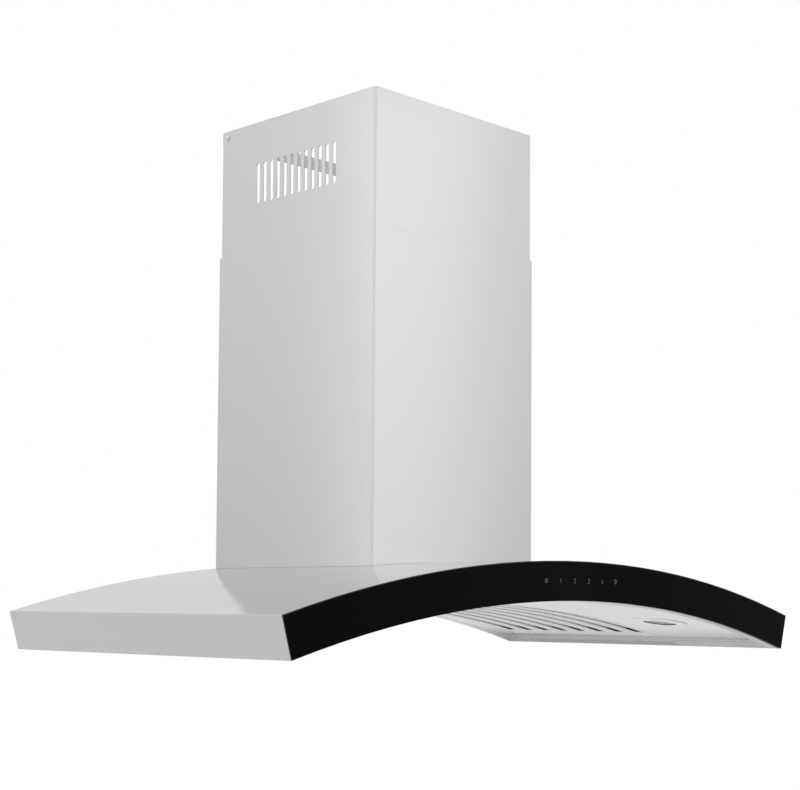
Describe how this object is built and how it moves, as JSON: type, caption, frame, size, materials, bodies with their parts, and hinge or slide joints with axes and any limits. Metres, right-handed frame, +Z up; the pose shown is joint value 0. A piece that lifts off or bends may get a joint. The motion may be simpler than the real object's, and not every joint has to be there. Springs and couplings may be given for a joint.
{
  "type": "wall mount range hood",
  "caption": "Wall mount range hood with an arched steel canopy, black glass touch fascia, arched baffle filters, centrifugal blower and telescoping chimney.",
  "frame": {"origin": "midway between the two hanging keyholes, on the wall plane at the back of the mounting plate", "axes": "+X to the hood's right seen from the front, +Y into the wall, +Z up; the front faces -Y"},
  "size_m": [0.9, 0.48, 0.6738],
  "materials": {
    "brushed_steel": "fine brushed stainless steel",
    "panel_steel": "brushed stainless steel, lightly satin",
    "filter_steel": "bright pressed stainless steel",
    "black_glass": "black glass, polished and opaque",
    "galvanised": "galvanised sheet with a faint spangle",
    "bright_metal": "plated steel",
    "spring_steel": "spring steel",
    "cast_aluminium": "satin aluminium",
    "motor_black": "black painted motor shell",
    "lamp_lens": "frosted lamp lens",
    "black_plastic": "black moulded plastic",
    "white_plastic": "white moulded plastic",
    "board_green": "circuit board lacquer",
    "spring_copper": "copper coloured touch springs",
    "rubber": "black rubber",
    "zinc_screw": "zinc plated screws"
  },
  "bodies": {
    "hood": {"canopy_shell": "brushed_steel", "rear_panel": "panel_steel", "front_channel": "panel_steel", "fascia_glass": "black_glass", "board_carrier": "black_plastic", "control_board": "board_green", "touch_springs": "spring_copper", "underside_panel": "panel_steel", "filter_rail": "panel_steel", "filter_springs": "spring_steel", "lamp_rim_left": "bright_metal", "lamp_rim_right": "bright_metal", "lamp_lens_left": "lamp_lens", "lamp_lens_right": "lamp_lens", "lamp_housing_left": "cast_aluminium", "lamp_housing_right": "cast_aluminium", "lamp_driver": "white_plastic", "mounting_plate": "galvanised", "blower_box": "galvanised", "fan_scroll": "galvanised", "scroll_side_left": "galvanised", "scroll_side_right": "galvanised", "inlet_ring_left": "galvanised", "inlet_ring_right": "galvanised", "motor": "motor_black", "motor_bracket": "galvanised", "motor_bushes": "rubber", "duct_collar": "bright_metal", "flap_pin": "bright_metal", "wiring_box": "galvanised", "wiring_lid": "galvanised", "terminal_block": "white_plastic", "cable_gland": "black_plastic", "motor_capacitor": "cast_aluminium", "lower_cover": "brushed_steel", "blower_screws": "zinc_screw", "cover_screws": "zinc_screw", "driver_screws": "zinc_screw"},
    "upper_chimney": {"upper_cover": "brushed_steel", "wall_bracket": "galvanised", "bracket_screws": "zinc_screw"},
    "filter_left": {"filter_frame_left": "filter_steel", "lower_baffles_left": "filter_steel", "upper_baffles_left": "filter_steel", "filter_handle_left": "filter_steel"},
    "filter_right": {"filter_frame_right": "filter_steel", "lower_baffles_right": "filter_steel", "upper_baffles_right": "filter_steel", "filter_handle_right": "filter_steel"},
    "fan": {"impeller": "cast_aluminium", "fan_shaft": "bright_metal"},
    "flap_front": {"damper_flap_front": "cast_aluminium"},
    "flap_rear": {"damper_flap_rear": "cast_aluminium"}
  },
  "joints": [
    {"name": "cover_slide", "type": "slide", "parent": "hood", "child": "upper_chimney", "axis": [0, 0, 1], "range_m": [-0.147, 0.18]},
    {"name": "filter_left_hinge", "type": "hinge", "parent": "hood", "child": "filter_left", "pos_m": [-0.4212, -0.158, -0.28558], "axis": [0, 1, 0], "range_deg": [0, 50]},
    {"name": "filter_right_hinge", "type": "hinge", "parent": "hood", "child": "filter_right", "pos_m": [0.4212, -0.158, -0.28558], "axis": [0, -1, 0], "range_deg": [0, 50]},
    {"name": "fan_spin", "type": "hinge", "parent": "hood", "child": "fan", "pos_m": [0, -0.115, -0.064], "axis": [1, 0, 0], "continuous": true},
    {"name": "flap_front_hinge", "type": "hinge", "parent": "hood", "child": "flap_front", "pos_m": [0, -0.178, 0.069], "axis": [-1, 0, 0], "range_deg": [0, 78]},
    {"name": "flap_rear_hinge", "type": "hinge", "parent": "hood", "child": "flap_rear", "pos_m": [0, -0.178, 0.069], "axis": [1, 0, 0], "range_deg": [0, 78]}
  ]
}
